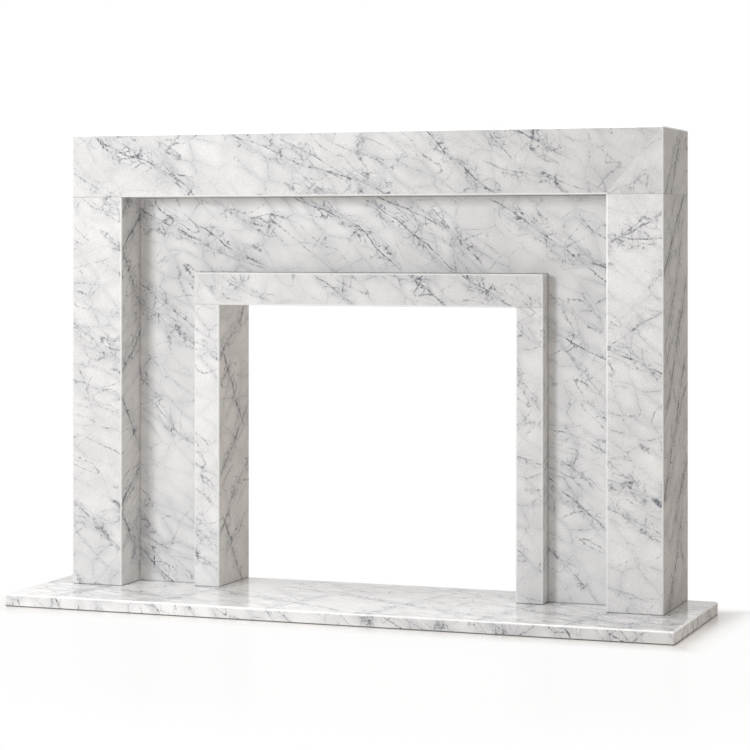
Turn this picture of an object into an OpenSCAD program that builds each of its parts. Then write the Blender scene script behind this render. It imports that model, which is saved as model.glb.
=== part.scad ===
// Stepped stone fireplace mantel on a hearth slab.
// An outer frame and a slimmer inner frame, each of two legs, a lintel with
// mitred ends and two corner blocks, stand on the hearth. A recessed back
// panel fills the space between the frames.
//
// Millimetres. The origin is the middle of the hearth's underside, +Z is up,
// the front faces -Y and left is -X. The sizes build outward from the fire
// opening, so any one of them can change without parting its neighbours.

/* [Fire opening] */
// Clear width between the inner legs
opening_w = 760; // [500:1:1100]
// Clear height from the hearth to the inner lintel
opening_h = 695; // [450:1:1000]

/* [Inner frame] */
// Width of each inner leg, seen from the front
inner_leg_w = 67; // [30:1:150]
// Height of the inner lintel
inner_lintel_h = 80; // [30:1:160]
// How far the inner frame stands out from the back panel
inner_step = 42; // [10:1:150]

/* [Back panel] */
// Width of panel seen on each side of the inner frame
panel_side_w = 168; // [40:1:400]
// Height of panel seen above the inner frame
panel_top_h = 185; // [40:1:400]
// Distance from the wall to the front of the panel
panel_depth = 145; // [60:1:300]
// Thickness of the panel's slab
panel_t = 30; // [15:1:50]
// Clearance round the panel's edges
panel_fit = 0.5; // [0.2:0.1:2]

/* [Outer frame] */
// Width of each outer leg, seen from the front
outer_leg_w = 135; // [60:1:300]
// Height of the outer lintel
outer_lintel_h = 155; // [60:1:300]
// How far the outer frame stands out from the back panel
outer_step = 105; // [20:1:250]

/* [Hearth] */
// How far the hearth runs past the outer frame at each side
hearth_side = 72; // [10:1:300]
// How far the hearth runs out in front of the outer frame
hearth_front = 210; // [50:1:500]
// Thickness of the hearth slab
hearth_t = 30; // [20:1:80]

/* [Edges] */
// Radius of the exposed arrises of both frames
arris_r = 4; // [0.5:0.5:8]
// Radius of the hearth's upper edge
hearth_top_r = 5; // [1:0.5:9]
// Radius of the hearth's lower edge and upright corners
hearth_low_r = 1.5; // [0.5:0.5:5]

/* [Hidden] */
$fn = 48;

// The sides that mirror the left-hand pieces
LEFT = -1;
RIGHT = 1;

// How far a cutting shape runs past the stone that it cuts
overcut = 1;

inner_w = opening_w + 2 * inner_leg_w;
inner_h = opening_h + inner_lintel_h;
inner_d = panel_depth + inner_step;

recess_w = inner_w + 2 * panel_side_w;
recess_h = inner_h + panel_top_h;

outer_w = recess_w + 2 * outer_leg_w;
outer_h = recess_h + outer_lintel_h;
outer_d = panel_depth + outer_step;

hearth_w = outer_w + 2 * hearth_side;
hearth_d = outer_d + hearth_front;

// The wall plane, which every upright piece but the panel reaches
wall_y = hearth_d / 2;

// A frame is [overall width, height above the hearth, depth, leg width, lintel height]
OUTER = [outer_w, outer_h, outer_d, outer_leg_w, outer_lintel_h];
INNER = [inner_w, inner_h, inner_d, inner_leg_w, inner_lintel_h];

function half_w(frame) = frame[0] / 2;
function front_y(frame) = wall_y - frame[2];
function inside_x(frame) = frame[0] / 2 - frame[3];
function top_z(frame) = hearth_t + frame[1];
function joint_z(frame) = hearth_t + frame[1] - frame[4];

// What a rounded corner at [x, y] takes away; toward = [dx, dy] points into the stone
module corner_waste(x, y, toward, r) {
    if (r > 0)
        difference() {
            translate([x + toward[0] * (r - overcut) / 2, y + toward[1] * (r - overcut) / 2])
                square(r + overcut, center = true);
            translate([x + toward[0] * r, y + toward[1] * r]) circle(r);
        }
}

// A rectangle from low to high, with the radii of its corners in the order
// low-low, high-low, high-high and low-high
module eased_rect(low, high, radii) {
    difference() {
        translate(low) square(high - low);
        corner_waste(low[0], low[1], [1, 1], radii[0]);
        corner_waste(high[0], low[1], [-1, 1], radii[1]);
        corner_waste(high[0], high[1], [-1, -1], radii[2]);
        corner_waste(low[0], high[1], [1, -1], radii[3]);
    }
}

// A side profile drawn as (y, z), carried along X
module along_x(from, to) {
    translate([from, 0, 0]) rotate([90, 0, 90]) linear_extrude(to - from) children();
}

// An elevation drawn as (x, z), carried along Y
module along_y(from, to) {
    translate([0, to, 0]) rotate([90, 0, 0]) linear_extrude(to - from) children();
}

// A plan drawn as (x, y), carried along Z
module along_z(from, to) {
    translate([0, 0, from]) linear_extrude(to - from) children();
}

// Turns a left-hand piece into the one on the named side
module on_side(side) {
    if (side == RIGHT) mirror([1, 0, 0]) children();
    else children();
}

// Plan of a left leg: both front arrises rounded, the back left square
module leg_plan(frame) {
    eased_rect([-half_w(frame), front_y(frame)], [-inside_x(frame), wall_y], [arris_r, arris_r, 0, 0]);
}

// A leg, from the hearth up to its level joint
module leg(frame, side) {
    on_side(side)
        along_z(hearth_t, joint_z(frame))
            leg_plan(frame);
}

// The whole head of a frame above its level joints, before the mitres part it
module head(frame, lower_r) {
    intersection() {
        along_y(front_y(frame), wall_y)
            eased_rect([-half_w(frame), joint_z(frame)], [half_w(frame), top_z(frame)],
                       [0, 0, arris_r, arris_r]);
        along_z(joint_z(frame), top_z(frame))
            eased_rect([-half_w(frame), front_y(frame)], [half_w(frame), wall_y],
                       [arris_r, arris_r, 0, 0]);
        along_x(-half_w(frame), half_w(frame))
            eased_rect([front_y(frame), joint_z(frame)], [wall_y, top_z(frame)],
                       [lower_r, 0, 0, arris_r]);
    }
}

// A corner block: a triangle between the level joint, the side and the mitre
module corner(frame, side) {
    on_side(side)
        intersection() {
            head(frame, 0);
            along_y(front_y(frame), wall_y)
                polygon([
                    [-half_w(frame), joint_z(frame)],
                    [-inside_x(frame), joint_z(frame)],
                    [-half_w(frame), top_z(frame)]
                ]);
            along_z(joint_z(frame), top_z(frame)) leg_plan(frame);
        }
}

// A lintel: full width along its top, as wide as the space below along its foot
module lintel(frame) {
    intersection() {
        head(frame, arris_r);
        along_y(front_y(frame), wall_y)
            polygon([
                [-inside_x(frame), joint_z(frame)],
                [inside_x(frame), joint_z(frame)],
                [half_w(frame), top_z(frame)],
                [-half_w(frame), top_z(frame)]
            ]);
    }
}

module hearth() {
    half_w = hearth_w / 2;
    half_d = hearth_d / 2;
    color("whitesmoke")
        intersection() {
            along_z(0, hearth_t)
                eased_rect([-half_w, -half_d], [half_w, half_d], [hearth_low_r, hearth_low_r, 0, 0]);
            along_y(-half_d, half_d)
                eased_rect([-half_w, 0], [half_w, hearth_t],
                           [hearth_low_r, hearth_low_r, hearth_top_r, hearth_top_r]);
            along_x(-half_w, half_w)
                eased_rect([-half_d, 0], [half_d, hearth_t], [hearth_low_r, 0, 0, hearth_top_r]);
        }
}

// The panel is one slab cut to an arch, standing on the hearth between the frames
module back_panel() {
    panel_half_w = recess_w / 2 - panel_fit;
    cut_half_w = inner_w / 2 + panel_fit;
    cut_z = hearth_t + inner_h + panel_fit;
    panel_z = hearth_t + recess_h - panel_fit;
    color("gainsboro")
        along_y(wall_y - panel_depth, wall_y - panel_depth + panel_t)
            difference() {
                translate([-panel_half_w, hearth_t])
                    square([2 * panel_half_w, panel_z - hearth_t]);
                translate([-cut_half_w, hearth_t - overcut])
                    square([2 * cut_half_w, cut_z - hearth_t + overcut]);
            }
}

module outer_leg_left() { color("whitesmoke") leg(OUTER, LEFT); }
module outer_leg_right() { color("whitesmoke") leg(OUTER, RIGHT); }
module outer_corner_left() { color("white") corner(OUTER, LEFT); }
module outer_corner_right() { color("white") corner(OUTER, RIGHT); }
module outer_lintel() { color("whitesmoke") lintel(OUTER); }
module inner_leg_left() { color("whitesmoke") leg(INNER, LEFT); }
module inner_leg_right() { color("whitesmoke") leg(INNER, RIGHT); }
module inner_corner_left() { color("white") corner(INNER, LEFT); }
module inner_corner_right() { color("white") corner(INNER, RIGHT); }
module inner_lintel() { color("whitesmoke") lintel(INNER); }

hearth();
outer_leg_left();
outer_leg_right();
outer_corner_left();
outer_corner_right();
outer_lintel();
back_panel();
inner_leg_left();
inner_leg_right();
inner_corner_left();
inner_corner_right();
inner_lintel();
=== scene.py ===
"""Looks of a stepped marble fireplace mantel: every stone with its eased arrises and its own run of veins."""
import math
from typing import NamedTuple

import bpy
import numpy as np
from mathutils import Matrix, Vector


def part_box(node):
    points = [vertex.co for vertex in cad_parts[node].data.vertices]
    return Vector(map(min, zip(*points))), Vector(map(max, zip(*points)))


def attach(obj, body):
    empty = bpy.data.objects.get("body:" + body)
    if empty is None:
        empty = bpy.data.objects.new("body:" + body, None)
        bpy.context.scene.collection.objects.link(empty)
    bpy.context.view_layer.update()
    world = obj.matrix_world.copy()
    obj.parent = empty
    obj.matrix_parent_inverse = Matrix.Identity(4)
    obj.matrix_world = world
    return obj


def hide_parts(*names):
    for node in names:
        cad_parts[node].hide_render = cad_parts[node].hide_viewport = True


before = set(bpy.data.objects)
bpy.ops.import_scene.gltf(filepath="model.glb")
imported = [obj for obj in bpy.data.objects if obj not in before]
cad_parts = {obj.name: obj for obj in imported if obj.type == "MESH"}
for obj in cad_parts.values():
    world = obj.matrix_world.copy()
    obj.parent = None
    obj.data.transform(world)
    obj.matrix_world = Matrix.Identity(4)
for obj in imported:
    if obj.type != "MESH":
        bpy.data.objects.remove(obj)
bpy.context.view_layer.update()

# ---------------------------------------------------------------- sizes, in metres

ARRIS = 0.004          # radius of the exposed arrises of both frames
HEARTH_TOP = 0.005     # radius of the hearth's upper edge
HEARTH_LOW = 0.0015    # radius of the hearth's lower edge and upright corners
JOINT_EASE = 0.0006    # how far the edges along a hairline joint are rubbed down
FOOT_EASE = 0.0016     # the same at the foot of a leg, where it stands on the hearth
PANEL_EASE = 0.0010    # chamfer round the front of the back panel
SAWN_EASE = 0.0003     # how far the sawn edges at the back are rubbed down

ARC_STEPS = 6          # faces round a quarter of a rounded arris
EASE_STEPS = 3         # faces round the end of a stone along a hairline joint
BLOCK_STEPS = 40       # courses up a corner block, where the mitre moves across
NEAR_MITRE = 3         # a lintel has close courses for this many arris radii inside its opening's corner
NEAR_STEPS = 8         # how many such courses at each end

FREE = math.inf        # the place of a side that has no arris
SIDES = {"left": -1, "right": 1}


class Frame:
    """The measures of one stepped frame, read from the boxes of its CAD stones."""

    def __init__(self, name):
        leg_low, leg_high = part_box(f"{name}_leg_right")
        lintel_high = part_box(f"{name}_lintel")[1]
        self.inside_x, self.outside_x = leg_low.x, leg_high.x
        self.front_y, self.wall_y = leg_low.y, leg_high.y
        self.foot_z, self.joint_z, self.top_z = leg_low.z, leg_high.z, lintel_high.z

    def mitre_x(self, z):
        """Half width of the lintel at height z, growing evenly from the opening's corner to the frame's."""
        share = (z - self.joint_z) / (self.top_z - self.joint_z)
        return self.inside_x + (self.outside_x - self.inside_x) * share


FRAMES = {"outer": Frame("outer"), "inner": Frame("inner")}

# ---------------------------------------------------------------- meshes


def eased_outline(low, high, radii, inset=0.0):
    """Closed rectangles from low to high (..., 2), each moved in by its inset (...), with their corners in
    the order low-low, high-low, high-high, low-high. Each corner is a quarter circle: centre + r (cos a,
    sin a), with r the corner's radius less the inset, so nested outlines stay the same distance apart."""
    inset = np.asarray(inset, float)[..., None]
    low, high = np.asarray(low, float) + inset, np.asarray(high, float) - inset
    low, high = np.broadcast_arrays(low, high)
    least_radius = 1e-5
    radius = np.maximum(np.asarray(radii, float) - inset, least_radius)
    x = np.stack([low[..., 0], high[..., 0]], axis=-1)
    y = np.stack([low[..., 1], high[..., 1]], axis=-1)
    corner = np.stack([x[..., [0, 1, 1, 0]], y[..., [0, 0, 1, 1]]], axis=-1)
    centre = corner + np.array([[1, 1], [-1, 1], [-1, -1], [1, -1]]) * radius[..., None]
    angle = np.radians([180, 270, 0, 90])[:, None] + np.linspace(0, math.pi / 2, ARC_STEPS + 1)
    ring = np.stack([np.cos(angle), np.sin(angle)], axis=-1)
    points = centre[..., :, None, :] + radius[..., :, None, None] * ring
    return points.reshape(*points.shape[:-3], -1, 2)


def eased_steps(start, end, ease, end_ease=None, middle_steps=1):
    """Stations along a path with rounded ends: places and insets. At each end the place goes as
    ease (1 - cos a) and the inset as ease (1 - sin a), so the carried outline closes in a quarter circle."""
    end_ease = ease if end_ease is None else end_ease
    a = np.linspace(0, math.pi / 2, EASE_STEPS + 1)
    head = start + ease * (1 - np.cos(a))
    tail = end - end_ease * (1 - np.cos(a[::-1]))
    middle = np.linspace(head[-1], tail[0], middle_steps + 1)[1:-1]
    place = np.concatenate([head, middle, tail])
    inset = np.concatenate([ease * (1 - np.sin(a)), np.zeros_like(middle), end_ease * (1 - np.sin(a[::-1]))])
    return place, inset


def rounded_box_parts(points, low, high, radius):
    """The nearest point q of the box shrunk by the radius, and the way p - q from it to each point p."""
    core = np.clip(points, np.asarray(low, float) + radius, np.asarray(high, float) - radius)
    return core, points - core


def round_off(points, low, high, radius):
    """Draws every point that lies past the rounded box back onto it: p goes to q + r (p - q) / |p - q|."""
    core, away = rounded_box_parts(points, low, high, radius)
    length = np.linalg.norm(away, axis=-1, keepdims=True)
    return np.where(length > radius, core + away * radius / np.maximum(length, 1e-9), points)


def on_arris(points, low, high, radius):
    """1 where a point lies on a rounded arris, which is where p - q leans along two axes at once, else 0."""
    least_lean = 0.05 * radius
    away = np.abs(rounded_box_parts(points, low, high, radius)[1])
    return ((away > least_lean).sum(axis=-1) > 1).astype(np.float32)


def loft(name, rings, arris):
    """A closed shell from rings (stations, points, 3): quads between neighbouring rings, and one flat face
    over each end. The faces are turned outwards by the sign of the shell's volume, the sum of p0 . (p1 x p2 +
    p2 x p3) over the quads. Faces on an arris are smooth."""
    stations, count = rings.shape[:2]
    index = np.arange(stations * count).reshape(stations, count)
    here, ahead = index[:-1], index[1:]
    sides = np.stack([here, np.roll(here, -1, axis=1), np.roll(ahead, -1, axis=1), ahead], axis=-1)
    sides = sides.reshape(-1, 4)
    points = rings.reshape(-1, 3)
    p = points[sides]
    volume = np.einsum("ij,ij->i", p[:, 0], np.cross(p[:, 1], p[:, 2]) + np.cross(p[:, 2], p[:, 3])).sum()
    first, last = index[0][::-1], index[-1]
    if volume < 0:
        sides, first, last = sides[:, ::-1], first[::-1], last[::-1]
    loops = np.concatenate([sides.ravel(), first, last]).astype(np.int32)
    totals = np.concatenate([np.full(len(sides), 4), [count, count]]).astype(np.int32)
    flags = arris.ravel()
    smooth = np.concatenate([flags[sides].max(axis=1) > 0, [False, False]])

    mesh = bpy.data.meshes.new(name)
    mesh.vertices.add(len(points))
    mesh.vertices.foreach_set("co", points.astype(np.float32).ravel())
    mesh.loops.add(len(loops))
    mesh.loops.foreach_set("vertex_index", loops)
    mesh.polygons.add(len(totals))
    mesh.polygons.foreach_set("loop_start", np.cumsum(totals, dtype=np.int32) - totals)
    mesh.polygons.foreach_set("loop_total", totals)
    mesh.polygons.foreach_set("use_smooth", smooth)
    mesh.attributes.new("arris", "FLOAT", "POINT").data.foreach_set("value", flags.astype(np.float32))
    mesh.update(calc_edges=True)
    mark_faces(mesh, underside_seen=name.endswith("lintel"))
    return mesh


def mark_faces(mesh, underside_seen):
    """Marks the faces that look to the right, which get painted shade, and the sawn ones that the wall and
    the floor hide: a face is marked where its normal's part along that way is nearly 1."""
    nearly_level, nearly_down = 0.9, -0.95
    normals = np.empty(3 * len(mesh.polygons), np.float32)
    mesh.polygons.foreach_get("normal", normals)
    x, y, z = normals.reshape(-1, 3).T
    sawn = y > nearly_level
    if not underside_seen:
        sawn = sawn | (z < nearly_down)
    for label, marked in (("right_face", x > nearly_level), ("sawn_face", sawn)):
        mesh.attributes.new(label, "FLOAT", "FACE").data.foreach_set("value", marked.astype(np.float32))


def carried_up(outline, z):
    """Points of outlines drawn as (x, y), each at its own height z."""
    return np.concatenate([outline, np.broadcast_to(z[:, None, None], outline.shape[:-1] + (1,))], axis=-1)


def leg_mesh(name, f, side):
    """A leg: its plan, with both front arrises rounded, carried up Z from the hearth to the level joint."""
    z, inset = eased_steps(f.foot_z, f.joint_z, FOOT_EASE, JOINT_EASE)
    radii = [ARRIS, ARRIS, SAWN_EASE, SAWN_EASE]
    plan = eased_outline([f.inside_x, f.front_y], [f.outside_x, f.wall_y], radii, inset)
    rings = carried_up(plan, z)
    arris = on_arris(rings, [f.inside_x, f.front_y, -FREE], [f.outside_x, FREE, FREE], ARRIS)
    return loft(name, rings * [side, 1, 1], arris)


def lintel_mesh(name, f):
    """A lintel: its side profile carried along X between the mitres. At share s of the way the profile's
    point at height z lies at x = s mitre_x(z), with s running from -1 to 1."""
    s, inset = eased_steps(-1, 1, JOINT_EASE / f.inside_x)
    near = np.linspace(1 - NEAR_MITRE * ARRIS / f.inside_x, 1, NEAR_STEPS + 1)[:-1]
    s = np.concatenate([s, near, -near])
    inset = np.concatenate([inset, 0 * near, 0 * near])
    order = np.argsort(s, kind="stable")
    s, inset = s[order], inset[order] * f.inside_x
    radii = [ARRIS, SAWN_EASE, SAWN_EASE, ARRIS]
    side = eased_outline([f.front_y, f.joint_z], [f.wall_y, f.top_z], radii, inset)
    rings = np.concatenate([s[:, None, None] * f.mitre_x(side[..., 1:]), side], axis=-1)
    high = [f.outside_x, FREE, f.top_z]
    rings = round_off(rings, [-f.outside_x, f.front_y, -FREE], high, ARRIS)
    arris = on_arris(rings, [-f.outside_x, f.front_y, f.joint_z], high, ARRIS)
    return loft(name, rings, arris)


def corner_mesh(name, f, side):
    """A corner block: its plan carried up Z, at each height as wide as the mitre leaves it."""
    z, inset = eased_steps(f.joint_z, f.top_z - JOINT_EASE, JOINT_EASE, middle_steps=BLOCK_STEPS)
    mitre = f.mitre_x(z)
    most_inset = 0.3 * (f.outside_x - mitre)
    inset = np.minimum(inset, most_inset)
    low = np.stack([mitre, np.full_like(mitre, f.front_y)], axis=-1)
    radii = [JOINT_EASE, ARRIS, SAWN_EASE, SAWN_EASE]
    plan = eased_outline(low, [f.outside_x, f.wall_y], radii, inset)
    low, high = [-FREE, f.front_y, -FREE], [f.outside_x, FREE, f.top_z]
    rings = round_off(carried_up(plan, z), low, high, ARRIS)
    return loft(name, rings * [side, 1, 1], on_arris(rings, low, high, ARRIS))


def hearth_mesh(name):
    """The hearth: its plan carried up Z, closing in the small lower edge and the larger upper one."""
    low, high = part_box(name)
    z, inset = eased_steps(low.z, high.z, HEARTH_LOW, HEARTH_TOP)
    front_left = np.stack([low.x + inset, low.y + inset], axis=-1)
    back_right = np.stack([high.x - inset, np.full_like(inset, high.y)], axis=-1)
    radii = [HEARTH_LOW, HEARTH_LOW, SAWN_EASE, SAWN_EASE]
    rings = carried_up(eased_outline(front_left, back_right, radii, np.zeros_like(inset)), z)
    front = on_arris(rings, [-FREE, low.y, -FREE], [FREE, FREE, high.z], HEARTH_TOP)
    ends = on_arris(rings, [low.x, -FREE, -FREE], [high.x, FREE, high.z], HEARTH_TOP)
    return loft(name, rings, np.maximum(front, ends))


def panel_mesh(name, inner_frame, outer_frame):
    """The back panel: the section of the slab, with both front edges chamfered, carried round an arch of two
    legs and a head and turning on the diagonals. The section's point at share t of the width lies at
    (1 - t) times the inner path plus t times the outer path."""
    low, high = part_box(name)
    fit = outer_frame.inside_x - high.x
    reach, crown = inner_frame.outside_x + fit, inner_frame.top_z + fit
    inner = np.array([[-reach, low.z], [-reach, crown], [reach, crown], [reach, low.z]])
    outer = np.array([[low.x, low.z], [low.x, high.z], [high.x, high.z], [high.x, low.z]])
    chamfer = PANEL_EASE / (high.x - reach)
    eased_y = low.y + PANEL_EASE
    section = np.array([[0, eased_y], [chamfer, low.y], [1 - chamfer, low.y], [1, eased_y],
                        [1, high.y], [0, high.y]])
    share = section[None, :, :1]
    path = inner[:, None, :] * (1 - share) + outer[:, None, :] * share
    depth = np.broadcast_to(section[None, :, 1:], path.shape[:2] + (1,))
    rings = np.concatenate([path[..., :1], depth, path[..., 1:]], axis=-1)
    return loft(name, rings, np.zeros(rings.shape[:2]))


# ---------------------------------------------------------------- where the veins run

# Each run of veins crosses the front of its stone: (x, z) of its middle and its length in metres, its fall to
# the right in degrees, and its strength. They are listed stone by stone.
RUNS = {
    "outer_lintel": [
        (-0.60, 1.10, 0.20, 26, 0.9), (-0.46, 1.03, 0.15, 44, 0.9), (-0.19, 1.09, 0.26, 22, 1.0),
        (-0.14, 1.10, 0.20, 30, 0.6), (-0.12, 1.03, 0.13, 42, 0.6), (0.05, 1.01, 0.18, 16, 1.1),
        (0.21, 1.11, 0.11, 50, 1.0), (0.31, 1.03, 0.14, 35, 1.2), (0.34, 1.13, 0.11, 45, 0.7),
        (0.44, 1.12, 0.14, 30, 0.9), (0.44, 1.04, 0.18, 15, 0.6)],
    "outer_corner_left": [(-0.69, 1.02, 0.18, 28, 0.60)],
    "outer_corner_right": [(0.65, 1.10, 0.10, -25, 0.45), (0.66, 1.01, 0.12, -30, 0.45)],
    "outer_leg_left": [
        (-0.69, 0.97, 0.16, 20, 0.35), (-0.69, 0.64, 0.22, 40, 0.70), (-0.69, 0.49, 0.17, 22, 0.30),
        (-0.67, 0.17, 0.19, 42, 0.55), (-0.70, 0.21, 0.13, 20, 0.30), (-0.70, 0.83, 0.12, -8, 0.30)],
    "outer_leg_right": [
        (0.68, 0.89, 0.17, 2, 0.90), (0.69, 0.92, 0.14, -35, 0.75), (0.68, 0.68, 0.18, -33, 0.60),
        (0.68, 0.61, 0.17, 18, 0.90), (0.68, 0.31, 0.17, 23, 0.85), (0.65, 0.35, 0.12, 45, 0.50),
        (0.68, 0.24, 0.16, 24, 0.65), (0.65, 0.08, 0.10, 22, 0.35)],
    "back_panel": [
        (-0.12, 0.96, 0.14, 22, 1.1), (-0.01, 0.89, 0.16, 42, 1.1), (0.10, 0.90, 0.21, 38, 1.3),
        (0.11, 0.95, 0.18, 25, 0.9), (0.22, 0.90, 0.14, 45, 1.0), (0.42, 0.91, 0.19, 31, 1.2),
        (0.53, 0.85, 0.12, 23, 0.8), (-0.55, 0.93, 0.18, 26, 1.0), (-0.40, 0.86, 0.19, 22, 0.7),
        (-0.36, 0.95, 0.13, 33, 0.8), (-0.37, 0.87, 0.14, 30, 1.2), (-0.55, 0.73, 0.18, 33, 0.8),
        (-0.55, 0.68, 0.19, 29, 1.0), (-0.55, 0.44, 0.20, 37, 0.8), (-0.58, 0.08, 0.15, 40, 1.0),
        (-0.58, 0.14, 0.13, 25, 0.6), (0.51, 0.64, 0.17, 28, 1.0), (0.54, 0.56, 0.14, 48, 0.6),
        (0.51, 0.42, 0.16, 25, 0.6), (0.51, 0.34, 0.16, 36, 0.5), (0.51, 0.27, 0.18, 40, 0.7),
        (0.50, 0.11, 0.17, 48, 0.6)],
    "inner_lintel": [
        (-0.34, 0.77, 0.17, 25, 0.5), (-0.07, 0.76, 0.11, 35, 0.7), (0.14, 0.77, 0.14, 35, 0.9),
        (0.30, 0.77, 0.14, 30, 1.0)],
    "inner_leg_left": [
        (-0.42, 0.61, 0.11, 26, 0.45), (-0.42, 0.32, 0.10, 32, 0.40), (-0.42, 0.16, 0.12, 40, 0.45),
        (-0.42, 0.10, 0.12, 40, 0.55)],
    "inner_leg_right": [
        (0.40, 0.54, 0.10, 35, 0.60), (0.40, 0.37, 0.10, 30, 0.65), (0.40, 0.15, 0.11, 43, 0.65)],
    "hearth": [
        (-0.75, 0.015, 0.06, 48, 0.3), (-0.58, 0.015, 0.07, 50, 0.4), (-0.44, 0.015, 0.06, 40, 0.3),
        (-0.33, 0.015, 0.06, 48, 0.4), (-0.18, 0.015, 0.06, 50, 0.3), (-0.09, 0.015, 0.08, 42, 0.4),
        (0.05, 0.015, 0.06, 46, 0.3), (0.16, 0.015, 0.10, 30, 0.6), (0.30, 0.015, 0.06, 50, 0.3),
        (0.42, 0.015, 0.09, 35, 0.6), (0.56, 0.015, 0.06, 45, 0.3), (0.66, 0.015, 0.07, 50, 0.4)],
}

FRONT_FALL = 34        # usual fall of the beds to the right, on the fronts, in degrees
SIDE_RISE = 38         # usual rise of the beds towards the wall, on the sides, in degrees

# Ways that the deeper runs and their beds go.
UP_BACK = (0, 0.74, 0.67)
STEEP_BACK = (0, 0.55, 0.83)
DOWN_BACK = (0, 0.55, -0.83)
EASY_BACK = (0, 0.80, 0.60)
FALLING = (1, 0, -0.4)
RISING = (1, 0, 0.4)
HEARTH_WAY = (0.90, -0.44, 0)
HEARTH_CROSS = (0.25, 0.97, 0)
STEEP = (0.60, 0, -0.80)

# Runs that cross the side of a stone or the hearth's top: (x, y, z) of the middle, the way the run goes, the
# way its bed goes into the stone, length and strength.
DEEPER_RUNS = {
    "outer_leg_right": [
        (0.75, 0.13, 0.94, UP_BACK, FALLING, 0.42, 1.6), (0.75, 0.08, 0.76, STEEP_BACK, FALLING, 0.30, 1.0),
        (0.75, 0.12, 0.66, STEEP_BACK, FALLING, 0.40, 1.7), (0.75, 0.16, 0.50, UP_BACK, FALLING, 0.26, 0.9),
        (0.75, 0.08, 0.43, STEEP_BACK, FALLING, 0.44, 1.6), (0.75, 0.14, 0.28, UP_BACK, FALLING, 0.30, 1.1),
        (0.75, 0.09, 0.12, STEEP_BACK, FALLING, 0.30, 1.5), (0.75, 0.05, 0.57, DOWN_BACK, RISING, 0.20, 0.8),
        (0.75, 0.15, 0.17, DOWN_BACK, RISING, 0.20, 0.7)],
    "outer_corner_right": [
        (0.75, 0.12, 1.08, STEEP_BACK, FALLING, 0.40, 1.5), (0.75, 0.03, 1.03, UP_BACK, FALLING, 0.20, 1.0)],
    "outer_leg_left": [
        (-0.615, 0.04, 0.90, UP_BACK, FALLING, 0.24, 0.9), (-0.615, 0.04, 0.78, DOWN_BACK, RISING, 0.24, 0.8),
        (-0.615, 0.04, 0.60, UP_BACK, FALLING, 0.24, 0.9), (-0.615, 0.04, 0.42, DOWN_BACK, RISING, 0.24, 0.8),
        (-0.615, 0.04, 0.28, UP_BACK, FALLING, 0.24, 0.9),
        (-0.615, 0.04, 0.12, DOWN_BACK, RISING, 0.24, 0.8)],
    "inner_leg_left": [
        (-0.38, 0.13, 0.66, UP_BACK, FALLING, 0.26, 0.9), (-0.38, 0.13, 0.52, DOWN_BACK, RISING, 0.26, 0.9),
        (-0.38, 0.13, 0.38, UP_BACK, FALLING, 0.26, 0.8), (-0.38, 0.13, 0.24, UP_BACK, FALLING, 0.26, 0.9),
        (-0.38, 0.13, 0.10, DOWN_BACK, RISING, 0.26, 0.8)],
    "hearth": [
        (-0.58, -0.08, 0.03, HEARTH_WAY, STEEP, 0.40, 0.9),
        (-0.20, -0.08, 0.03, HEARTH_WAY, STEEP, 0.55, 1.1),
        (0.06, -0.02, 0.03, HEARTH_WAY, STEEP, 0.55, 1.0),
        (0.26, -0.12, 0.03, HEARTH_WAY, STEEP, 0.50, 1.1),
        (0.52, -0.08, 0.03, HEARTH_WAY, STEEP, 0.45, 1.2),
        (0.66, -0.14, 0.03, HEARTH_WAY, STEEP, 0.35, 1.1),
        (-0.66, -0.10, 0.03, HEARTH_CROSS, STEEP, 0.40, 0.8),
        (-0.40, -0.10, 0.03, HEARTH_CROSS, STEEP, 0.50, 0.9),
        (-0.10, -0.08, 0.03, HEARTH_CROSS, STEEP, 0.50, 0.8),
        (0.14, -0.08, 0.03, HEARTH_CROSS, STEEP, 0.50, 0.9),
        (0.40, -0.10, 0.03, HEARTH_CROSS, STEEP, 0.50, 1.0),
        (0.60, -0.12, 0.03, HEARTH_CROSS, STEEP, 0.40, 1.0),
        (0.76, -0.02, 0.03, HEARTH_WAY, STEEP, 0.30, 1.0),
        (0.72, -0.14, 0.03, HEARTH_CROSS, STEEP, 0.40, 0.8),
        (0.82, -0.13, 0.02, EASY_BACK, FALLING, 0.10, 0.8),
        (0.82, 0.01, 0.02, EASY_BACK, FALLING, 0.12, 0.9),
        (0.82, 0.12, 0.02, EASY_BACK, FALLING, 0.10, 0.7)],
}


class Run(NamedTuple):
    """One run of veins as the finish uses it: an ellipsoid's middle, turn and half sizes, its strength, and
    how broad its main vein is against the usual."""
    centre: tuple
    turn: object
    half_length: float
    half_depth: float
    strength: float
    breadth: float

    def half_width(self):
        """Half width across the bed: less for a weak run, and never much for a short one."""
        full, least_share, most_share_of_length = 0.035, 0.4, 0.23
        share = least_share + (1 - least_share) * min(self.strength, 1.0)
        return min(full * share, most_share_of_length * self.half_length)


def way_turn(along, deeper):
    """The turn that lays local X along one way of a bed, local Z across it and local Y into the stone:
    X = along, Z = X x deeper, Y = Z x X."""
    along = Vector(along).normalized()
    across = along.cross(Vector(deeper)).normalized()
    return Matrix((along, across.cross(along), across)).transposed().to_euler()


def front_turn(fall, rise):
    """The turn of a bed seen on the front: the run goes along (cos fall, 0, -sin fall), and the bed goes
    into the stone along (0, cos rise, sin rise)."""
    fall, rise = math.radians(fall), math.radians(rise)
    return way_turn((math.cos(fall), 0, -math.sin(fall)), (0, math.cos(rise), math.sin(rise)))


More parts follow.
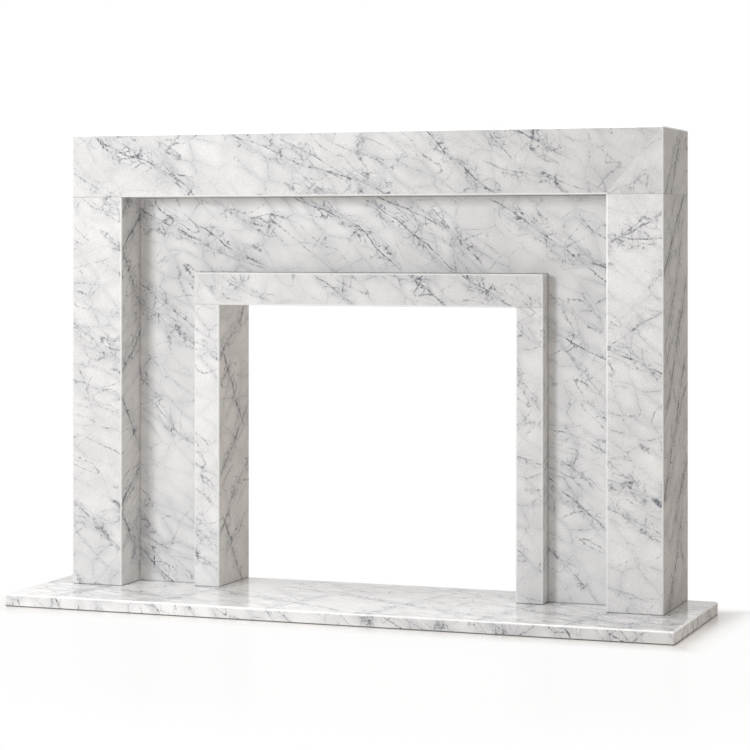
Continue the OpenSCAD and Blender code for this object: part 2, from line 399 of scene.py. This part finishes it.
def runs_in(node, front_y, deep_breadth):
    """All runs in a stone: those across its front, going far into it, and those across its sides or top."""
    front_share, front_depth = 0.85, 0.30
    deep_share, deep_depth = 0.6, 0.05
    runs = []
    for x, z, length, fall, strength in RUNS.get(node, []):
        turn = front_turn(fall, math.copysign(SIDE_RISE, fall))
        runs.append(Run((x, front_y, z), turn, front_share * length, front_depth, strength, 1.0))
    for x, y, z, along, deeper, length, strength in DEEPER_RUNS.get(node, []):
        turn = way_turn(along, deeper)
        runs.append(Run((x, y, z), turn, deep_share * length, deep_depth, strength, deep_breadth))
    return runs


# ---------------------------------------------------------------- tones and finishes

# How light each stone's ground is at its left end and at its right end, against the usual: partly the stone's
# own tone, and partly painted light and shade, with the lintels darker to the right where the light falls off
# and the hearth and the inner left leg lighter.
TONES_AND_PAINTED_LIGHT = {
    "outer_lintel": (0.95, 0.83), "outer_corner_left": (0.97, 0.97), "outer_corner_right": (0.92, 0.92),
    "outer_leg_left": (1.01, 1.01), "outer_leg_right": (1.03, 1.03), "back_panel": (0.98, 0.98),
    "inner_lintel": (0.97, 0.90), "inner_leg_left": (1.07, 1.07), "inner_leg_right": (0.97, 0.97),
    "inner_corner_left": (1.00, 1.00), "inner_corner_right": (0.93, 0.93), "hearth": (1.16, 0.97),
}

# The same for faces to the right, as painted shade: below 1 they are darker, and above 1, on the inner left
# leg's reveal, they get painted light.
PAINTED_SIDE_SHADES = {"outer_leg_right": 0.82, "outer_corner_right": 0.90, "outer_leg_left": 0.97,
               "inner_leg_left": 1.05}

# How dark the line along the foot of each kind of stone is, painted contact shadow where a stone stands on
# the hearth or the floor and a dark joint under the corner blocks, and how light the mitre joints are.
FOOT_JOINTS_AND_SHADOWS = {"hearth": 0.95, "panel": 0.5, "leg": 0.5, "corner": 0.2, "lintel": 0.0}
MITRE_SHOWN = 0.3


def kind_of(node):
    """The kind of stone that a node is: hearth, panel, leg, corner or lintel."""
    return next(kind for kind in FOOT_JOINTS_AND_SHADOWS if kind in node)


class Finish(NamedTuple):
    """How one kind of stone is finished, and how its figure shows."""
    slot: str            # the record's material slot, not used
    roughness: float     # of the clear ground
    ior: float           # how strongly the polish mirrors
    faint: float         # how much the faint veins show away from the runs
    bend: float          # how far the beds bend, against the usual
    deep_breadth: float  # breadth of the main vein in the deeper runs


HEARTH_FINISH = Finish("hearth_marble", 0.12, 1.33, 1.00, 0.7, 1.7)
PANEL_FINISH = Finish("panel_marble", 0.42, 1.50, 0.70, 1.0, 2.8)
FRAME_FINISH = Finish("frame_marble", 0.42, 1.50, 0.65, 1.0, 2.8)

CLEAR_WHITE = (0.820, 0.818, 0.813, 1)
CLOUDED_WHITE = (0.745, 0.743, 0.741, 1)
HAZE_GREY = (0.525, 0.53, 0.556, 1)
VEIN_SLATE = (0.120, 0.127, 0.158, 1)
CRYSTAL_WHITE = (0.95, 0.95, 0.95, 1)
# Colour of the painted highlight along the arrises.
HIGHLIGHT_WHITE = (0.97, 0.97, 0.965, 1)
FILLER_WHITE = (0.93, 0.93, 0.92, 1)
# Colour of the dark foot line: painted contact shadow, and a dark joint under the corner blocks.
JOINT_AND_SHADOW_BROWN = (0.11, 0.10, 0.09, 1)
SAWN_DARK = (0.66, 0.65, 0.635, 1)
SAWN_LIGHT = (0.76, 0.75, 0.735, 1)
# Warm tint of the painted shade on the faces that look to the right.
SIDE_SHADE_WARMTH = (1.01, 0.985, 0.96)

# Cloud noise: lumps to the metre, detail and roughness.
FOLDS = (7.0, 3.0, 0.42)         # folds that bend every bed
KINKS = (45.0, 2.0, 0.5)         # small kinks along a vein
RAGS = (26.0, 2.0, 0.5)          # raggedness of the skin of a run
BREAKS = (34.0, 2.0, 0.6)        # where a vein fades
KNOTS = (170.0, 1.0, 0.5)        # dark knots along a vein
PATCHES = (6.0, 2.0, 0.5)        # where the faint veins show more
CLOUDS = (13.0, 3.0, 0.55)       # greyer clouds in the ground
CRYSTALS = (330.0, 1.0, 0.5)     # single crystals
SWELLS = (1.0, 1.0, 0.4)         # drawn-out lumps that the loops go round, one to a cell
SAW_MARKS = (1.0, 2.0, 0.6)      # stripes left by the saw, one to a stripe

# How far the pattern is shifted from one stone's number to the next, in metres.
PATTERN_STEP = (1.7, 0.9, 2.3)

# Cells: metres along the bed, into the stone and across the bed.
NET_CELL = (0.038, 0.038, 0.019)
LOOP_CELL = (0.060, 0.060, 0.026)
BLOB_CELL = (0.100, 0.090, 0.040)
LONG_CELL = (0.20, 0.20, 0.055)
CROSS_CELL = (0.20, 0.20, 0.080)

# ---------------------------------------------------------------- nodes


def set_inputs(tree, node, inputs):
    """Links a node's inputs to sockets, or sets them to values."""
    for name, value in inputs.items():
        if isinstance(value, bpy.types.NodeSocket):
            tree.links.new(value, node.inputs[name])
        else:
            node.inputs[name].default_value = value


def add_node(tree, kind, inputs=None, **settings):
    """A shader node with its settings made and its inputs linked or set."""
    node = tree.nodes.new(kind)
    for name, value in settings.items():
        setattr(node, name, value)
    set_inputs(tree, node, inputs or {})
    return node


def maths(tree, operation, *values, clamp=False):
    """One Math node: numbers and sockets in, a socket out."""
    node = add_node(tree, "ShaderNodeMath", dict(enumerate(values)), operation=operation, use_clamp=clamp)
    return node.outputs[0]


def times(tree, first, second, clamp=False):
    """The product of two values."""
    return maths(tree, "MULTIPLY", first, second, clamp=clamp)


def times_plus(tree, value, factor, addend):
    """A value times a factor, plus an addend."""
    return maths(tree, "MULTIPLY_ADD", value, factor, addend)


def largest(tree, first, *others):
    """The largest of several values."""
    for other in others:
        first = maths(tree, "MAXIMUM", first, other)
    return first


def vector_maths(tree, operation, first, second=None, scale=None):
    """One Vector Math node."""
    inputs = {0: first}
    if second is not None:
        inputs[1] = second
    if scale is not None:
        inputs["Scale"] = scale
    return add_node(tree, "ShaderNodeVectorMath", inputs, operation=operation).outputs[0]


def graded(tree, value, low, high, to_low=0.0, to_high=1.0):
    """A smooth step from to_low at low to to_high at high."""
    inputs = {"Value": value, "From Min": low, "From Max": high, "To Min": to_low, "To Max": to_high}
    return add_node(tree, "ShaderNodeMapRange", inputs, interpolation_type="SMOOTHSTEP").outputs[0]


def mixed(tree, factor, first, second):
    """A colour between two others."""
    node = add_node(tree, "ShaderNodeMix", {"Factor": factor}, data_type="RGBA")
    sockets = {s.identifier: index for index, s in enumerate(node.inputs)}
    set_inputs(tree, node, {sockets["A_Color"]: first, sockets["B_Color"]: second})
    return next(s for s in node.outputs if s.identifier == "Result_Color")


def mapped(tree, place, size, turn=(0, 0, 0), centre=(0, 0, 0)):
    """A place seen from a pattern that is centred, turned and sized in the stone."""
    inputs = {"Vector": place, "Location": centre, "Rotation": turn, "Scale": size}
    return add_node(tree, "ShaderNodeMapping", inputs, vector_type="TEXTURE").outputs[0]


def parts_of(tree, vector):
    """The X, Y and Z of a vector."""
    return add_node(tree, "ShaderNodeSeparateXYZ", {0: vector}).outputs


def ball(tree, place):
    """1 at the middle of a ball of radius 1, falling evenly to 0 at its skin."""
    node = add_node(tree, "ShaderNodeTexGradient", {"Vector": place}, gradient_type="SPHERICAL")
    return node.outputs["Fac"]


def noise(tree, place, kind, output="Fac"):
    """Cloud noise of one of the kinds above."""
    lumps, detail, roughness = kind
    inputs = {"Vector": place, "Scale": lumps, "Detail": detail, "Roughness": roughness}
    return add_node(tree, "ShaderNodeTexNoise", inputs).outputs[output]


def cells(tree, place, turn, size):
    """Distance to the wall between neighbouring cells, which are about size long along the beds, into the
    stone and across the beds."""
    inputs = {"Vector": mapped(tree, place, size, turn), "Scale": 1.0}
    return add_node(tree, "ShaderNodeTexVoronoi", inputs, feature="DISTANCE_TO_EDGE").outputs["Distance"]


def contours(tree, place, turn, size, levels, width, weight):
    """Thin lines where drawn-out cloud noise passes through evenly spaced levels. They run along the beds,
    close into long loops, and are broader where the noise is flat. The noise times twice the levels is folded
    up and down between 0 and 1, and the line is where that comes nearer to 0 than the line's width."""
    folds = 2.0 * levels
    crisp = 0.1
    height = times(tree, noise(tree, mapped(tree, place, size, turn), SWELLS), folds)
    broad = times(tree, weight, folds * width)
    return graded(tree, maths(tree, "PINGPONG", height, 1.0), broad, crisp * folds * width)


def new_group(name, inputs, outputs):
    """A node group with the named sockets, and its two ends."""
    group = bpy.data.node_groups.new(name, "ShaderNodeTree")
    kinds = {"vector": "NodeSocketVector", "value": "NodeSocketFloat", "colour": "NodeSocketColor"}
    for label, kind in inputs:
        group.interface.new_socket(label, in_out="INPUT", socket_type=kinds[kind])
    for label, kind in outputs:
        group.interface.new_socket(label, in_out="OUTPUT", socket_type=kinds[kind])
    return group, group.nodes.new("NodeGroupInput").outputs, group.nodes.new("NodeGroupOutput").inputs


def use_group(tree, group, inputs):
    """One use of a shared node group."""
    node = tree.nodes.new("ShaderNodeGroup")
    node.node_tree = group
    set_inputs(tree, node, inputs)
    return node.outputs


# ---------------------------------------------------------------- the figure of the marble


def bent_place_group():
    """Bends straight beds the way folded rock is bent: cloud noise shifts the place, by a lot at the scale
    of a hand and by little at the scale of a crystal."""
    fold_reach, kink_reach = 0.046, 0.0050
    inputs = [("Place", "vector"), ("Shift", "vector"), ("Amount", "value")]
    group, given, out = new_group("bent_place", inputs, [("Bent", "vector")])
    own = vector_maths(group, "ADD", given["Place"], given["Shift"])
    middle = (0.5, 0.5, 0.5)
    folds = vector_maths(group, "SUBTRACT", noise(group, own, FOLDS, "Color"), middle)
    kinks = vector_maths(group, "SUBTRACT", noise(group, own, KINKS, "Color"), middle)
    bend = vector_maths(group, "ADD", vector_maths(group, "SCALE", folds, scale=fold_reach),
                        vector_maths(group, "SCALE", kinks, scale=kink_reach))
    bend = vector_maths(group, "SCALE", bend, scale=given["Amount"])
    group.links.new(vector_maths(group, "ADD", given["Place"], bend), out["Bent"])
    return group


def vein_run_group():
    """One run of veins: a long thin ellipsoid in the stone, 1 at its heart and 0 at its skin, with one main
    vein along its middle sheet. Each output is the larger of this run's value and the value handed in."""
    usual_edge, heart = 0.0021, 0.0004
    inputs = [("Bent", "vector"), ("Centre", "vector"), ("Turn", "vector"), ("Size", "vector"),
              ("Strength", "value"), ("Breadth", "value"), ("Body", "value"), ("Line", "value")]
    group, given, out = new_group("vein_run", inputs, [("Body", "value"), ("Line", "value")])
    local = mapped(group, given["Bent"], given["Size"], given["Turn"], given["Centre"])
    body = ball(group, local)
    across = maths(group, "ABSOLUTE", parts_of(group, local)["Z"])
    away = times(group, across, parts_of(group, given["Size"])["Z"])
    edge = times(group, given["Breadth"], usual_edge)
    line = times(group, graded(group, away, edge, heart), graded(group, body, 0.02, 0.40))
    for label, value in (("Body", body), ("Line", line)):
        group.links.new(largest(group, times(group, value, given["Strength"]), given[label]), out[label])
    return group


def ragged_run(group, body, own):
    """How far a place is inside the runs, with the skin of each run made ragged."""
    rags = times_plus(group, noise(group, own, RAGS), 0.9, -0.45)
    body = maths(group, "ADD", body, times(group, rags, graded(group, body, 0.0, 0.3)))
    return graded(group, body, 0.05, 0.60)


def vein_lines(group, given, own, bent, in_run, faint):
    """All the veins, as darkness from 0 to 1, and the distances to the nearest walls of the net and the
    blobs. The darkness is the darkest line at the place, times the ink that breaks and knots leave it."""
    breaks = graded(group, noise(group, own, BREAKS), 0.38, 0.60)
    knots = graded(group, noise(group, own, KNOTS), 0.42, 0.66)
    ink = times(group, times_plus(group, breaks, 0.75, 0.25), times_plus(group, knots, 0.85, 0.58))
    weight = times_plus(group, knots, 0.9, 0.55)

    bed, cross_bed = given["Bed"], given["Cross bed"]
    long_line = contours(group, bent, bed, LONG_CELL, 3.0, 0.018, weight)
    cross_line = contours(group, bent, cross_bed, CROSS_CELL, 2.0, 0.009, weight)
    loops = contours(group, bent, bed, LOOP_CELL, 3.0, 0.017, weight)
    net = cells(group, bent, bed, NET_CELL)
    net_line = graded(group, net, times(group, weight, 0.044), 0.004)
    net_line = largest(group, times(group, net_line, 0.75), loops)
    blobs = cells(group, bent, bed, BLOB_CELL)
    blob_line = graded(group, blobs, times(group, weight, 0.026), 0.002)

    main_dark, net_dark, blob_dark, cross_dark, least_long = 1.1, 0.85, 0.75, 0.80, 0.52
    reach = largest(group, faint, in_run)
    dark = largest(group, times(group, given["Line"], main_dark),
                   times(group, net_line, times(group, in_run, net_dark)),
                   times(group, long_line, largest(group, reach, least_long)),
                   times(group, blob_line, times(group, reach, blob_dark)),
                   times(group, cross_line, times(group, reach, cross_dark)))
    return times(group, dark, ink, clamp=True), net, blobs


def soft_haze(group, net, blobs, in_run, faint):
    """Soft grey: a little all through a run, more towards the walls of its net, and some along the blobs."""
    through, along_net, along_blobs = 0.16, 0.24, 0.80
    soft = times(group, graded(group, net, 0.30, 0.0), in_run)
    haze = maths(group, "ADD", times(group, in_run, through), times(group, soft, along_net))
    edges = times(group, graded(group, blobs, 0.26, 0.0), times(group, faint, along_blobs))
    return maths(group, "ADD", haze, edges)


def marble_figure_group():
    """White marble: clouded ground, haze and a net of fine slate-coloured veins in the runs, a faint net of
    longer veins everywhere in two crossing beds, crystals, and a painted highlight along the arrises."""
    inputs = [("Place", "vector"), ("Bent", "vector"), ("Shift", "vector"), ("Bed", "vector"),
              ("Cross bed", "vector"), ("Body", "value"), ("Line", "value"), ("Faint", "value"),
              ("Shade", "value")]
    outputs = [("Colour", "colour"), ("Dull", "value"), ("Height", "value"), ("Arris", "value")]
    group, given, out = new_group("marble_figure", inputs, outputs)
    own = vector_maths(group, "ADD", given["Place"], given["Shift"])
    bent = vector_maths(group, "ADD", given["Bent"], given["Shift"])

    in_run = ragged_run(group, given["Body"], own)
    patches = graded(group, noise(group, own, PATCHES), 0.40, 0.62)
    faint = times(group, times_plus(group, patches, 0.70, 0.30), given["Faint"])
    dark, net, blobs = vein_lines(group, given, own, bent, in_run, faint)
    haze = soft_haze(group, net, blobs, in_run, faint)

    cloud = graded(group, noise(group, bent, CLOUDS), 0.34, 0.70)
    crystals = noise(group, own, CRYSTALS)
    stone = mixed(group, cloud, CLEAR_WHITE, CLOUDED_WHITE)
    stone = mixed(group, times(group, haze, 0.75, clamp=True), stone, HAZE_GREY)
    stone = mixed(group, times(group, dark, 0.95, clamp=True), stone, VEIN_SLATE)
    sparkle = times(group, graded(group, crystals, 0.68, 0.76), 0.30)
    stone = mixed(group, sparkle, stone, CRYSTAL_WHITE)
    speckle = graded(group, crystals, 0.25, 0.75, 0.945, 1.055)
    # The Shade input carries the stone's tone together with painted light and shade along X.
    stone = vector_maths(group, "SCALE", stone, scale=times(group, speckle, given["Shade"]))

    arris = add_node(group, "ShaderNodeAttribute", attribute_name="arris").outputs["Fac"]
    # Painted highlight: the arrises are whitened.
    stone = mixed(group, times(group, arris, 0.9), stone, HIGHLIGHT_WHITE)

    dull = maths(group, "ADD", times(group, cloud, 0.05), times(group, dark, 0.06))
    for label, value in (("Colour", stone), ("Dull", dull), ("Height", crystals), ("Arris", arris)):
        group.links.new(value, out[label])
    return group


BENT_PLACE = bent_place_group()
VEIN_RUN = vein_run_group()
MARBLE_FIGURE = marble_figure_group()

# ---------------------------------------------------------------- one stone's finish


def mitre_line(tree, f, x, z):
    """1 along the filled mitre joints and 0 away from them: the gap between a place's height and the height
    of the mitre at its distance from the middle."""
    edge, heart = 0.0024, 0.0010
    slope = (f.top_z - f.joint_z) / (f.outside_x - f.inside_x)
    mitre_z = times_plus(tree, maths(tree, "ABSOLUTE", x), slope, f.joint_z - slope * f.inside_x)
    gap = maths(tree, "ABSOLUTE", maths(tree, "SUBTRACT", z, mitre_z))
    return graded(tree, gap, edge, heart)


def own_veins(tree, node, front_y, finish, bent):
    """The runs of a stone taken one after another, each handing on the larger values."""
    body, line = 0.0, 0.0
    for run in runs_in(node, front_y, finish.deep_breadth):
        size = (run.half_length, run.half_depth, run.half_width())
        used = use_group(tree, VEIN_RUN, {"Bent": bent, "Centre": run.centre, "Turn": run.turn, "Size": size,
                                          "Strength": run.strength, "Breadth": run.breadth,
                                          "Body": body, "Line": line})
        body, line = used["Body"], used["Line"]
    return body, line


def own_figure(tree, node, number, front_y, finish, place, axes):
    """The figure of one stone: its own shift of the pattern, its beds, its runs of veins and its shade."""
    low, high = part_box(node)
    shift = tuple(number * step for step in PATTERN_STEP)
    bent = use_group(tree, BENT_PLACE, {"Place": place, "Shift": shift, "Amount": finish.bend})["Bent"]
    body, line = own_veins(tree, node, front_y, finish, bent)
    bed, cross_bed = front_turn(FRONT_FALL, SIDE_RISE), front_turn(-FRONT_FALL, -SIDE_RISE)
    if node == "hearth":
        bed, cross_bed = way_turn(HEARTH_WAY, STEEP), way_turn(HEARTH_CROSS, STEEP)
    # Tone along X, partly painted light and shade: the lintels darken to the right and the hearth is
    # lightened.
    shade = graded(tree, axes["X"], low.x, high.x, *TONES_AND_PAINTED_LIGHT[node])
    return use_group(tree, MARBLE_FIGURE, {"Place": place, "Bent": bent, "Shift": shift, "Bed": bed,
                                           "Cross bed": cross_bed, "Body": body, "Line": line,
                                           "Faint": finish.faint, "Shade": shade})


def marked(tree, label):
    """1 on the faces that carry the mark, and 0 on the others."""
    return add_node(tree, "ShaderNodeAttribute", attribute_name=label).outputs["Fac"]


def saw_marks(tree, place):
    """Level stripes, a little out of true, of the saw that cut the hidden faces."""
    out_of_true, stripes_to_metre = (0, 0.35, 0.2), (2.0, 2.0, 190.0)
    inputs = {"Vector": place, "Rotation": out_of_true, "Scale": stripes_to_metre}
    return noise(tree, add_node(tree, "ShaderNodeMapping", inputs).outputs[0], SAW_MARKS)


def side_shade_and_sawn_faces(tree, node, colour, sawn, marks):
    """A stone's colour, with warm painted shade on the faces that look to the right, and plain sawn on the
    hidden ones.
    """
    sawn_cover = 0.75
    # Painted shade, warm and greyer, on the faces that look to the right.
    painted_side_shade = tuple(PAINTED_SIDE_SHADES.get(node, 1.0) * part for part in SIDE_SHADE_WARMTH) + (1,)
    painted_side_shade = mixed(tree, marked(tree, "right_face"), (1, 1, 1, 1), painted_side_shade)
    colour = vector_maths(tree, "MULTIPLY", colour, painted_side_shade)
    matt = mixed(tree, graded(tree, marks, 0.3, 0.7), SAWN_DARK, SAWN_LIGHT)
    return mixed(tree, times(tree, sawn, sawn_cover), colour, matt)


def joints_and_foot_shadow(tree, node, colour, axes):
    """A stone's colour, with the light filler along its mitre and the dark line along its foot, which is
    painted contact shadow except under the corner blocks.
    """
    if kind_of(node) in ("corner", "lintel"):
        filled = mitre_line(tree, FRAMES[node.split("_")[0]], axes["X"], axes["Z"])
        colour = mixed(tree, times(tree, filled, MITRE_SHOWN), colour, FILLER_WHITE)
    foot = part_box(node)[0].z
    # Painted contact shadow along the foot, a dark joint for the corner blocks.
    dark_edge, dark_heart = foot + 0.0032, foot + 0.0014
    foot_dark = times(tree, graded(tree, axes["Z"], dark_edge, dark_heart), FOOT_JOINTS_AND_SHADOWS[kind_of(node)])
    return mixed(tree, foot_dark, colour, JOINT_AND_SHADOW_BROWN)


def marble(node, number, front_y, finish):
    """The finish of one stone: its figure with painted side shade, the sawn faces, the mitre filler and the
    dark line along its foot laid over it, its polish, which is brighter on the arrises and lost on the sawn
    faces, and the fine unevenness of its surface."""
    material = bpy.data.materials.new(f"{node}_marble")
    material.use_nodes = True
    tree = material.node_tree
    place = add_node(tree, "ShaderNodeTexCoord").outputs["Object"]
    axes = parts_of(tree, place)
    sawn = marked(tree, "sawn_face")
    marks = saw_marks(tree, place)
    figure = own_figure(tree, node, number, front_y, finish, place, axes)
    colour = side_shade_and_sawn_faces(tree, node, figure["Colour"], sawn, marks)
    colour = joints_and_foot_shadow(tree, node, colour, axes)

    sawn_roughness, arris_polish = 0.8, -0.6
    rough = maths(tree, "ADD", figure["Dull"], finish.roughness)
    rough = times(tree, rough, times_plus(tree, figure["Arris"], arris_polish, 1.0))
    rough = largest(tree, rough, times(tree, sawn, sawn_roughness))

    saw_depth, crystal_depth, shown = 3.0, 0.0002, 0.15
    height = times_plus(tree, times(tree, marks, sawn), saw_depth, figure["Height"])
    bump = add_node(tree, "ShaderNodeBump", {"Height": height, "Strength": shown, "Distance": crystal_depth})
    set_inputs(tree, tree.nodes["Principled BSDF"], {"Base Color": colour, "Roughness": rough,
                                                     "Normal": bump.outputs[0], "IOR": finish.ior})
    return material


# ---------------------------------------------------------------- camera and light


def camera():
    """A long level lens at eye height in front of the right half, shifted down onto the mantel."""
    data = bpy.data.cameras.new("camera")
    data.sensor_width = 36
    data.lens = 114.9
    data.shift_y = -0.1819
    data.clip_end = 100
    eye = bpy.data.objects.new("camera", data)
    eye.location = (1.996, -5.360, 0.888)
    eye.rotation_euler = (math.radians(90), 0, math.radians(20.01))
    bpy.context.scene.collection.objects.link(eye)
    bpy.context.scene.camera = eye


def area_lamp(name, place, target, size, power, colour):
    """A square soft lamp at place, turned to face target."""
    data = bpy.data.lights.new(name, "AREA")
    data.shape = "SQUARE"
    data.size = size
    data.energy = power
    data.color = colour
    lamp = bpy.data.objects.new(name, data)
    lamp.location = place
    lamp.rotation_euler = (Vector(target) - Vector(place)).to_track_quat("-Z", "Y").to_euler()
    bpy.context.scene.collection.objects.link(lamp)


def white_room(scene):
    """A world that is white to the eye and in reflections, and a soft warm fill to the stone."""
    warm, fill_strength = (1.0, 0.905, 0.81, 1), 0.30
    world = bpy.data.worlds.new("studio")
    scene.world = world
    world.use_nodes = True
    tree = world.node_tree
    tree.nodes.clear()
    path = add_node(tree, "ShaderNodeLightPath").outputs
    seen = add_node(tree, "ShaderNodeBackground", {"Color": (1, 1, 1, 1), "Strength": 1.0}).outputs[0]
    fill = add_node(tree, "ShaderNodeBackground", {"Color": warm, "Strength": fill_strength}).outputs[0]
    either = largest(tree, path["Is Camera Ray"], path["Is Glossy Ray"])
    mix = add_node(tree, "ShaderNodeMixShader", {0: either, 1: fill, 2: seen}).outputs[0]
    add_node(tree, "ShaderNodeOutputWorld", {"Surface": mix})


def floor_shown(tree, place):
    """How much of the floor shows through the white: most within a hand of the hearth, where its shadow
    falls, and a little in a broad oval about it."""
    oval_centre, oval_size, oval_most = (0.25, -0.55, 0), (1.7, 0.95, 1), 0.12
    shadow_reach, shadow_curve = 0.14, 1.6
    oval = ball(tree, mapped(tree, place, oval_size, centre=oval_centre))
    broad = graded(tree, oval, 0.0, 0.5, 0.0, oval_most)
    axes = parts_of(tree, place)
    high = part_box("hearth")[1]
    past_side = maths(tree, "SUBTRACT", maths(tree, "ABSOLUTE", axes["X"]), high.x)
    past_front = maths(tree, "SUBTRACT", maths(tree, "ABSOLUTE", axes["Y"]), high.y)
    away = largest(tree, past_side, past_front)
    close = maths(tree, "POWER", graded(tree, away, shadow_reach, 0.0), shadow_curve)
    return largest(tree, broad, close)


def white_floor(scene):
    """A pale floor that runs on into the white room: near the mantel it takes its shadow and a little of its
    reflection, and further off it is as white as the room to the eye."""
    half, pale, gloss = 14.0, (0.86, 0.84, 0.815, 1), 0.22
    mesh = bpy.data.meshes.new("floor")
    corners = [(-half, -half, 0), (half, -half, 0), (half, half, 0), (-half, half, 0)]
    mesh.from_pydata(corners, [], [(0, 1, 2, 3)])
    floor = bpy.data.objects.new("floor", mesh)
    scene.collection.objects.link(floor)
    material = bpy.data.materials.new("floor_white")
    material.use_nodes = True
    tree = material.node_tree
    tree.nodes.clear()
    place = add_node(tree, "ShaderNodeTexCoord").outputs["Object"]
    path = add_node(tree, "ShaderNodeLightPath").outputs
    hidden = maths(tree, "SUBTRACT", 1.0, floor_shown(tree, place))
    hidden = times(tree, hidden, path["Is Camera Ray"])
    surface = add_node(tree, "ShaderNodeBsdfPrincipled", {"Base Color": pale, "Roughness": gloss}).outputs[0]
    glow = add_node(tree, "ShaderNodeEmission", {"Strength": 1.0}).outputs[0]
    mix = add_node(tree, "ShaderNodeMixShader", {0: hidden, 1: surface, 2: glow}).outputs[0]
    add_node(tree, "ShaderNodeOutputMaterial", {"Surface": mix})
    mesh.materials.append(material)


def studio():
    """A key lamp well off to the left front, and a soft lamp overhead, in the white room."""
    scene = bpy.context.scene
    scene.view_settings.view_transform = "Standard"
    area_lamp("key", (-2.14, -4.58, 1.73), (0, 0, 0.6), 1.2, 106, (0.935, 0.965, 1.0))
    area_lamp("overhead", (0, -0.6, 5.0), (0, -0.6, 0), 2.2, 150, (1, 1, 1))
    white_room(scene)
    white_floor(scene)


# ---------------------------------------------------------------- building

# Each stone shifts the pattern by its own number, so that no two are alike.
HEARTH_NUMBER = 14
PANEL_NUMBER = 1
FIRST_FRAME_NUMBER = 2
FRAME_NUMBERS = {"lintel": 0, "leg_left": 1, "corner_left": 3, "leg_right": 2, "corner_right": 4}


def set_stone(mesh, node, number, front_y, finish):
    """Puts a finished mesh into the scene in place of its CAD stone."""
    piece = bpy.data.objects.new(f"{node}_stone", mesh)
    bpy.context.scene.collection.objects.link(piece)
    mesh.materials.append(marble(node, number, front_y, finish))
    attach(piece, "root")
    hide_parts(node)


def frame_stone_mesh(node, f, part):
    """The mesh of one stone of a frame: its lintel, or the leg or corner block on the named side."""
    if part == "lintel":
        return lintel_mesh(node, f)
    kind, hand = part.split("_")
    make = {"leg": leg_mesh, "corner": corner_mesh}[kind]
    return make(node, f, SIDES[hand])


def build_mantel():
    """Every stone: the hearth, the back panel, and the five stones of each frame."""
    set_stone(hearth_mesh("hearth"), "hearth", HEARTH_NUMBER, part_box("hearth")[0].y, HEARTH_FINISH)
    panel = panel_mesh("back_panel", FRAMES["inner"], FRAMES["outer"])
    set_stone(panel, "back_panel", PANEL_NUMBER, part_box("back_panel")[0].y, PANEL_FINISH)
    for order, (name, f) in enumerate(FRAMES.items()):
        first = FIRST_FRAME_NUMBER + order * len(FRAME_NUMBERS)
        for part, number in FRAME_NUMBERS.items():
            node = f"{name}_{part}"
            set_stone(frame_stone_mesh(node, f, part), node, first + number, f.front_y, FRAME_FINISH)


camera()
studio()
build_mantel()
